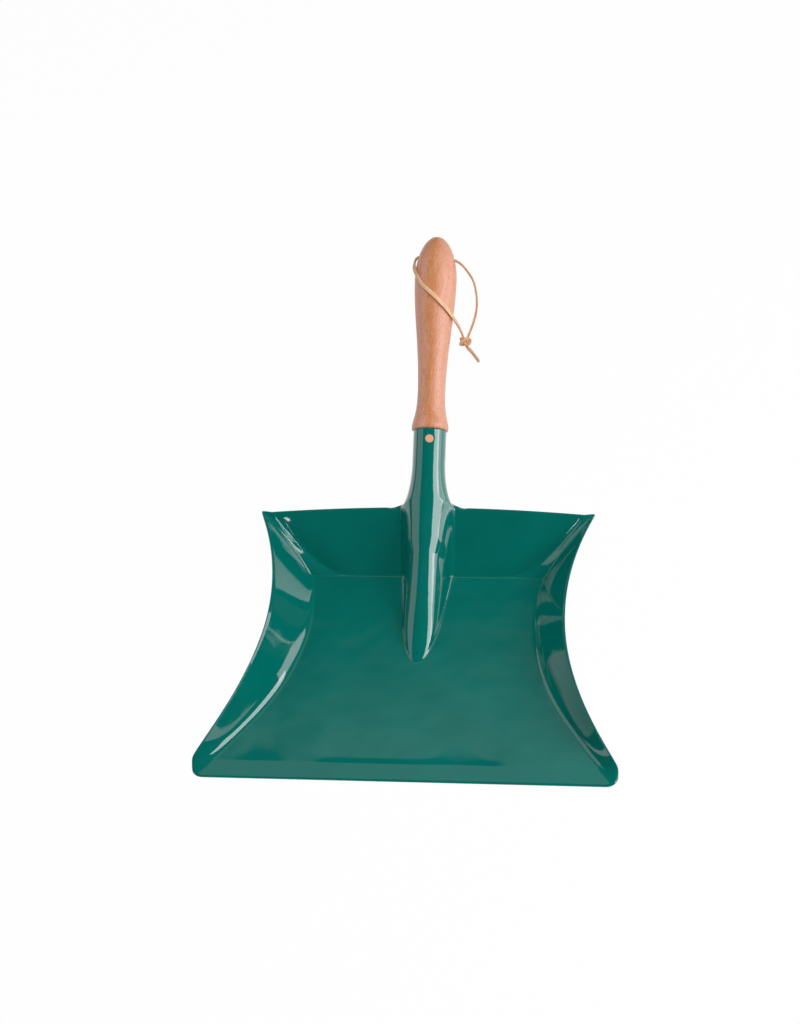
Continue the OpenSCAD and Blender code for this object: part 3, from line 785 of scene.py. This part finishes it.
# ---------------------------------------------------------------- handle
# Turned from one piece of straight-grained beech, sanded and oiled: a tenon inside the socket, a shoulder,
# a cove, a long swell and a round tip, with a cross hole for the lace.
tenon_r = socket_r - sheet_t - 0.1
tenon_len = 30
tenon_end_r = 8
shoulder_r = 12.9
shoulder_t = 4.5
shoulder_round = 1.5
shoulder_gap = 0.45
neck_r = 9.7
neck_s = socket_len + 29
swell_r = 14.9
swell_back = 32
tip_s = swell_s + swell_back
lace_hole_s = tip_s - 16
lace_hole_r = 3
hole_lip = 0.5
turned_cols = 128
beech_pale = (0.83, 0.40, 0.275)
beech_warm = (0.68, 0.265, 0.085)
ray_brown = (0.40, 0.15, 0.055, 1)


def bezier(a, b, c, d, count):
    """Points of the Bezier curve with these four controls, without its first."""
    t = (np.arange(1, count + 1) / count)[:, None]
    a, b, c, d = np.array([a, b, c, d])[:, None]
    return (1 - t) ** 3 * a + 3 * t * (1 - t) ** 2 * b + 3 * t ** 2 * (1 - t) * c + t ** 3 * d


def tip_radius(s):
    """Radius of the handle past its swell: half an ellipse."""
    return swell_r * np.sqrt(np.clip(1 - ((s - swell_s) / swell_back) ** 2, 0, 1))


def turned_profile():
    """Radius and place of each row: tenon, shoulder with a quarter round, cove, neck, swell and tip."""
    foot = socket_len + shoulder_gap
    neck, swell = (neck_r, neck_s), (swell_r, swell_s)
    shoulder = (shoulder_r, socket_len + shoulder_t)
    cove, rise = neck_s - shoulder[1], swell_s - neck_s
    turn = np.linspace(0, np.pi / 2, 8)
    tenon = [(tenon_end_r - 1, socket_len - tenon_len), (tenon_end_r, socket_len - tenon_len + 1),
             (tenon_r, roll_len), (tenon_r, socket_len - 1), (tenon_r, foot), (tenon_r + 0.1, foot)]
    rounding = np.column_stack([shoulder_r - shoulder_round * (1 - np.sin(turn)),
                                foot + shoulder_round * (1 - np.cos(turn))])
    cove_curve = bezier(shoulder, (shoulder_r - 2, shoulder[1] + 0.32 * cove),
                        (neck_r, neck_s - 0.5 * cove), neck, 30)
    swell_curve = bezier(neck, (neck_r, neck_s + 0.36 * rise), (swell_r, swell_s - 0.3 * rise), swell, 60)
    body = np.vstack([rounding, np.linspace(rounding[-1], shoulder, 7)[1:], cove_curve, swell_curve])
    body[1:-1] = averaged(body)
    even = 2 * np.pi * tip_radius(lace_hole_s) / turned_cols
    hole_from, hole_to = lace_hole_s - hole_cells * even, lace_hole_s + hole_cells * even
    last_turn = np.linspace(np.arcsin((hole_to - swell_s) / swell_back), np.pi / 2, 24)[1:-1]
    tip_rows = np.concatenate([stretch(swell_s, hole_from, 14), stretch(hole_from, hole_to, 2 * hole_cells),
                               swell_s + swell_back * np.sin(last_turn)])
    return np.vstack([tenon, body, np.column_stack([tip_radius(tip_rows), tip_rows])]), even


profile, even = turned_profile()
rows = len(profile)
turned_a = circle(turned_cols) - np.pi + 0 * profile[:, :1]
turned_r = profile[:, :1] + 0 * turned_a
turned_s = profile[:, 1:] + 0 * turned_a
for side_a in (-np.pi / 2, np.pi / 2):
    start_r = tip_radius(lace_hole_s)
    p, q = turned_s - lace_hole_s, (turned_a - side_a) * start_r
    near = (np.maximum(np.abs(p), np.abs(q)) < even * hole_cells - 1e-6)
    p, q = round_the_hole(p, q, even, lace_hole_r + hole_lip)
    turned_s = np.where(near, lace_hole_s + p, turned_s)
    turned_a = np.where(near, side_a + q / start_r, turned_a)
    turned_r = np.where(near, tip_radius(turned_s), turned_r)
skin = on_axis(turned_s, turned_a, turned_r).reshape(-1, 3)
ends = on_axis(np.array([socket_len - tenon_len, tip_s]), np.zeros(2), np.zeros(2))

# Quads of the skin without the two squares of the cross hole, and the fans that close both ends.
hole_row = int(np.argmin(np.abs(profile[:, 1] - lace_hole_s)))
hole_cols = (turned_cols // 4, 3 * turned_cols // 4)
skin_quads = grid_quads(rows, turned_cols, closed_cols=True)
left_open, right_open = [in_square(skin_quads, turned_cols, hole_row, col) for col in hole_cols]
around = np.arange(turned_cols)
end_fans = fan(len(skin), around[::-1]) + fan(len(skin) + 1, around + (rows - 1) * turned_cols)

# The cross hole: both rims turn in on a small radius, and a straight bore joins them.
left_rim = (hole_row + walk_rows) * turned_cols + hole_cols[0] + walk_cols
right_rim = (hole_row + walk_rows) * turned_cols + hole_cols[1] - walk_cols
hole_foot = on_axis(lace_hole_s, 0.0, 0.0)


def turned_in(rim):
    """Rings from a rim of the cross hole into the bore: a quarter round of the lip's radius."""
    out = (skin[rim] - hole_foot) * [0, 1, 1]
    turn = (np.pi / 2 * np.arange(1, 5) / 4)[:, None, None]
    inwards = -np.sign(skin[rim, :1]) * [[1, 0, 0]]
    level = skin[rim] * [1, 0, 0] + hole_foot
    return (level + unit(out) * (lace_hole_r + hole_lip * (1 - np.sin(turn)))
            + inwards * hole_lip * (1 - np.cos(turn)))


left_rings, right_rings = turned_in(left_rim), turned_in(right_rim)
bore = left_rings[-1] + (right_rings[-1] - left_rings[-1]) * (np.arange(1, 12) / 12)[:, None, None]
tunnel = np.concatenate([left_rings, bore, right_rings[::-1]])
tunnel_numbers = len(skin) + 2 + np.arange(tunnel.shape[0] * tunnel.shape[1]).reshape(tunnel.shape[:2])
tunnel_numbers = np.vstack([left_rim, tunnel_numbers, right_rim])
tunnel_quads = tunnel_numbers.ravel()[grid_quads(*tunnel_numbers.shape, closed_cols=True)]


def beech_grain():
    """A node group for beech. Its vector has the grain along Z and the growth rings stacked along Y."""
    group = bpy.data.node_groups.new("beech_grain", "ShaderNodeTree")
    for way, kind, sockets in (("INPUT", "Vector", ["Vector"]), ("INPUT", "Color", ["Pale", "Warm"]),
                               ("INPUT", "Float", ["Ring Width", "Figure", "Flame", "Flecks"]),
                               ("OUTPUT", "Color", ["Color"]),
                               ("OUTPUT", "Float", ["Roughness", "Height"])):
        for socket in sockets:
            group.interface.new_socket(socket, in_out=way, socket_type="NodeSocket" + kind)
    nodes, links = group.nodes, group.links
    given, result = nodes.new("NodeGroupInput").outputs, nodes.new("NodeGroupOutput").inputs

    def scaled(along):
        """The vector with its way along the grain times this share."""
        made = node(nodes, "ShaderNodeVectorMath", operation="MULTIPLY")
        made.inputs[1].default_value = (1, 1, along)
        links.new(given["Vector"], made.inputs[0])
        return made.outputs[0]

    def stretched(along, scale, detail):
        """Noise whose features are drawn out along the grain: the smaller the share, the longer."""
        return noise(nodes, links, scaled(along), scale, detail)

    def maths(operation, a, b=0):
        """One sum of two sockets or numbers."""
        made = node(nodes, "ShaderNodeMath", operation=operation)
        for place, value in enumerate((a, b)):
            if isinstance(value, (int, float)):
                made.inputs[place].default_value = value
            else:
                links.new(value, made.inputs[place])
        return made.outputs[0]

    # Growth rings: steps of the ring width along Y, drifting slowly, pale early wood and warm late wood.
    depth = nodes.new("ShaderNodeSeparateXYZ")
    links.new(given["Vector"], depth.inputs[0])
    level = maths("ADD", depth.outputs["Y"], maths("MULTIPLY", stretched(0.05, 90.0, 2.0), 0.006))
    level = maths("ADD", level, maths("MULTIPLY", stretched(0.4, 420.0, 3.0), 0.0012))
    ring = maths("FRACT", maths("DIVIDE", level, given["Ring Width"]))
    late = ramp(nodes, links, ring, (0.0, 0.1), (0.45, 0.25), (0.82, 1), (1.0, 0.1))
    wood = blend(nodes, links, maths("MULTIPLY", late, given["Figure"]), given["Pale"], given["Warm"])
    # The flame: a jagged warm stripe along the middle of both flat-sawn faces, where X is small beside the
    # distance from the axis.
    from_axis = node(nodes, "ShaderNodeVectorMath", operation="LENGTH")
    links.new(scaled(0), from_axis.inputs[0])
    jagged, sway = stretched(0.22, 520.0, 3.0), stretched(1.0, 26.0, 1.0)
    offset = maths("DIVIDE", depth.outputs["X"], maths("MAXIMUM", from_axis.outputs["Value"], 0.001))
    offset = maths("ADD", offset, maths("MULTIPLY", maths("SUBTRACT", sway, 0.5), 0.6))
    spread = maths("ADD", maths("ABSOLUTE", offset), maths("MULTIPLY", jagged, 0.9))
    flame = maths("MULTIPLY", ramp(nodes, links, spread, (0.45, 1), (0.95, 0)), given["Flame"])
    wood = blend(nodes, links, flame, wood, given["Warm"])
    # Ray flecks: short dark spindles along the grain. Fibres: fine lines that also carry the pores.
    flecks = maths("MULTIPLY", ramp(nodes, links, stretched(0.3, 1500.0, 1.0), (0.52, 0), (0.68, 1)),
                   given["Flecks"])
    wood = blend(nodes, links, flecks, wood, ray_brown)
    fibres = stretched(0.03, 2600.0, 3.0)
    tone = ramp(nodes, links, fibres, (0.3, 0.84), (0.7, 1.08))
    links.new(blend(nodes, links, 1.0, wood, tone, "MULTIPLY"), result["Color"])
    links.new(maths("ADD", maths("MULTIPLY", fibres, 0.2), 0.32), result["Roughness"])
    links.new(maths("SUBTRACT", fibres, maths("MULTIPLY", flecks, 0.5)), result["Height"])
    return group


grain = beech_grain()


def beech(name, pale, warm, ring_width, figure, flame, flecks, turn, middle):
    """Oiled beech: the grain group on Object coordinates, turned about X with this middle as origin."""
    material, nodes, links, shader, place = principled(name)
    for key, value in (("Coat Weight", 0.12), ("Coat Roughness", 0.35), ("Subsurface Weight", 0.06),
                       ("Subsurface Radius", (0.002, 0.001, 0.0005))):
        shader.inputs[key].default_value = value
    shift = tuple(-(about_x(turn) @ middle) / 1000)
    mapping = node(nodes, "ShaderNodeMapping", Rotation=(turn, 0, 0), Location=shift)
    wood = nodes.new("ShaderNodeGroup")
    wood.node_tree = grain
    for key, value in (("Pale", (*pale, 1)), ("Warm", (*warm, 1)), ("Ring Width", ring_width),
                       ("Figure", figure), ("Flame", flame), ("Flecks", flecks)):
        wood.inputs[key].default_value = value
    links.new(place.outputs["Object"], mapping.inputs["Vector"])
    links.new(mapping.outputs["Vector"], wood.inputs["Vector"])
    links.new(wood.outputs["Color"], shader.inputs["Base Color"])
    links.new(wood.outputs["Roughness"], shader.inputs["Roughness"])
    links.new(bumped(nodes, links, wood.outputs["Height"], 0.2, 0.0001), shader.inputs["Normal"])
    return material


# The grain runs along the handle, so its axis is turned upright and put on the origin.
handle_wood = beech("beech", beech_pale, beech_warm, 0.0052, 0.25, 0.85, 0.28,
                    np.pi / 2 - handle_tilt, on_axis(0.0, 0.0, 0.0) + [0, mouth_y, 0])
handle_points = np.concatenate([skin, ends, tunnel.reshape(-1, 3)]) + [0, mouth_y, 0]
handle_faces = [*skin_quads[~(left_open | right_open)].tolist(), *end_fans,
                *tunnel_quads[:, ::-1].tolist()]
handle = make_piece("handle_turned", handle_points, handle_faces, handle_wood)
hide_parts("handle")

# ---------------------------------------------------------------- pin
# A beech dowel driven through the socket into the tenon. Its sawn end, hardly domed, shows in the hole.
pin_len = 17
pin_sunk = 0.4
pin_edge = 0.35
pin_cols = 48
pin_dome = 0.12
pin_pale = (0.88, 0.46, 0.29)
pin_warm = (0.86, 0.46, 0.18)
dome = np.array([0.4, 0.7, 0.9, 1])[:, None] * (pin_r - pin_edge)
turn = np.linspace(0, np.pi / 2, 6)[1:, None]
pin_radius = np.vstack([dome, pin_r - pin_edge * (1 - np.sin(turn)), np.full((7, 1), pin_r)])
pin_depth = np.vstack([pin_dome * (dome / pin_r) ** 2, pin_dome + pin_edge * (1 - np.cos(turn)),
                       np.linspace(1, pin_len, 7)[:, None]])
round_pin = circle(pin_cols)[None]
pin_top = on_axis(pin_s, pin_a, socket_r - pin_sunk) + [0, mouth_y, 0]
pin_out = on_axis(pin_s, pin_a, 1.0) - on_axis(pin_s, pin_a, 0.0)
pin_side = np.cross(axis_dir, pin_out)
pin_rings = (pin_top + (pin_radius * np.cos(round_pin))[..., None] * pin_side
             + (pin_radius * np.sin(round_pin))[..., None] * axis_dir
             - (pin_depth + 0 * round_pin)[..., None] * pin_out)
pin_ends = np.array([pin_top, pin_top - pin_len * pin_out])
pin_around = np.arange(pin_cols)
pin_count = pin_rings.shape[0] * pin_cols
pin_fans = fan(pin_count, pin_around) + fan(pin_count + 1, pin_around[::-1] + pin_count - pin_cols)
pin_quads = grid_quads(pin_rings.shape[0], pin_cols, closed_cols=True)[:, ::-1].tolist()
pin_wood = beech("pin_wood", pin_pale, pin_warm, 0.0011, 0.5, 0.0, 0.0, -handle_tilt, pin_top * [0, 1, 1])
pin = make_piece("pin_dowel", np.concatenate([pin_rings.reshape(-1, 3), pin_ends]),
                 [*pin_quads, *pin_fans], pin_wood)
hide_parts("pin")

# ---------------------------------------------------------------- floor and light
# A white table sweep under the object, two soft boxes on its right, a dimmer white board on its left, a
# strip of ceiling behind, a small lamp low in front, and a broad fill nearly overhead that no mirror shows.
table_reach = 60
table_curl = 3.4
flat_reach = 10
shown_white = 0.97


def table_sweep(rings=24, spokes=64):
    """A round sheet about the object. Its far edge curls up, with the sixth power of the way out."""
    reach = table_reach * (np.arange(1, rings + 1) / rings)[:, None]
    a = circle(spokes)[None]
    height = table_curl * np.maximum(0, (reach - flat_reach) / (table_reach - flat_reach)) ** 6 + 0 * a
    rim = np.stack([reach * np.cos(a), reach * np.sin(a), height], axis=-1).reshape(-1, 3)
    ring_quads = 1 + grid_quads(rings, spokes, closed_cols=True)[:, ::-1]
    return np.vstack([[0, 0, 0], rim]), [*fan(0, 1 + np.arange(spokes)), *ring_quads.tolist()]


table_points, table_faces = table_sweep()
floor_mesh = bpy.data.meshes.new("floor")
floor_mesh.from_pydata(table_points.tolist(), [], table_faces)
floor = new_object("floor", floor_mesh)


def white_table():
    """Matt white that the camera and mirrors see as plain white, but for a little of its own shade."""
    material, nodes, links = nodes_of("white_table")
    diffuse = node(nodes, "ShaderNodeBsdfDiffuse", Color=(0.95, 0.95, 0.95, 1))
    glow = node(nodes, "ShaderNodeEmission", Color=(1, 1, 1, 1), Strength=1.0)
    mix = nodes.new("ShaderNodeMixShader")
    output = nodes.new("ShaderNodeOutputMaterial")
    path = nodes.new("ShaderNodeLightPath")
    seen = path.outputs["Is Camera Ray"]
    for ray in ("Is Glossy Ray", "Is Transmission Ray"):
        either = node(nodes, "ShaderNodeMath", operation="MAXIMUM")
        links.new(seen, either.inputs[0])
        links.new(path.outputs[ray], either.inputs[1])
        seen = either.outputs[0]
    share = node(nodes, "ShaderNodeMath", operation="MULTIPLY")
    share.inputs[1].default_value = shown_white
    links.new(seen, share.inputs[0])
    for source, place in ((share, 0), (diffuse, 1), (glow, 2)):
        links.new(source.outputs[0], mix.inputs[place])
    links.new(mix.outputs[0], output.inputs[0])
    return material


floor_mesh.materials.append(white_table())

world = bpy.data.worlds.new("studio")
world.use_nodes = True
world.node_tree.nodes["Background"].inputs[0].default_value = (1, 1, 1, 1)
world.node_tree.nodes["Background"].inputs[1].default_value = 0.02
bpy.context.scene.world = world
lit_middle = np.array([0, -0.05, 0.05])


def soft_box(name, turn, rise, distance, width, height, radiance, in_mirrors=True, fading=None):
    """A rectangular lamp: degrees round from +Y towards +X, degrees up, metres away, its size and radiance.

    With fading, two shares of its height, it fades from full above the first to nothing below the second.
    """
    lamp = bpy.data.lights.new(name, "AREA")
    lamp.shape = "RECTANGLE"
    lamp.size, lamp.size_y, lamp.energy = width, height, radiance * np.pi * width * height
    made = new_object(name, lamp)
    turn, rise = np.radians([turn, rise])
    back = np.array([np.sin(turn) * np.cos(rise), np.cos(turn) * np.cos(rise), np.sin(rise)])
    side = unit(np.cross([0, 0, 1], back))
    set_up(made, side, np.cross(back, side), back, lit_middle + distance * back)
    made.visible_glossy = in_mirrors
    if fading:
        lamp.use_nodes = True
        nodes, links = lamp.node_tree.nodes, lamp.node_tree.links
        across = nodes.new("ShaderNodeNewGeometry")
        height_share = nodes.new("ShaderNodeSeparateXYZ")
        links.new(across.outputs["Parametric"], height_share.inputs[0])
        fade = ramp(nodes, links, height_share.outputs["Y"], (fading[1], 0), (fading[0], 1))
        links.new(fade, nodes["Emission"].inputs["Strength"])


soft_box("key_right", 96, 33.5, 1.4, 0.8, 0.83, 4.3)
soft_box("key_behind", 72, 15, 1.4, 0.65, 0.73, 2.2)
soft_box("board_left", 281, 30.5, 1.4, 0.96, 1.12, 0.78, fading=(0.12, 0.0))
soft_box("ceiling_strip", 347, 61, 1.5, 1.0, 0.66, 0.33, fading=(0.36, 0.08))
soft_box("small_front", 193, 24, 1.6, 0.07, 0.07, 8.0)
soft_box("fill_above", 160, 74, 1.8, 1.2, 1.2, 4.2, in_mirrors=False)

bpy.context.scene.view_settings.view_transform = "Standard"
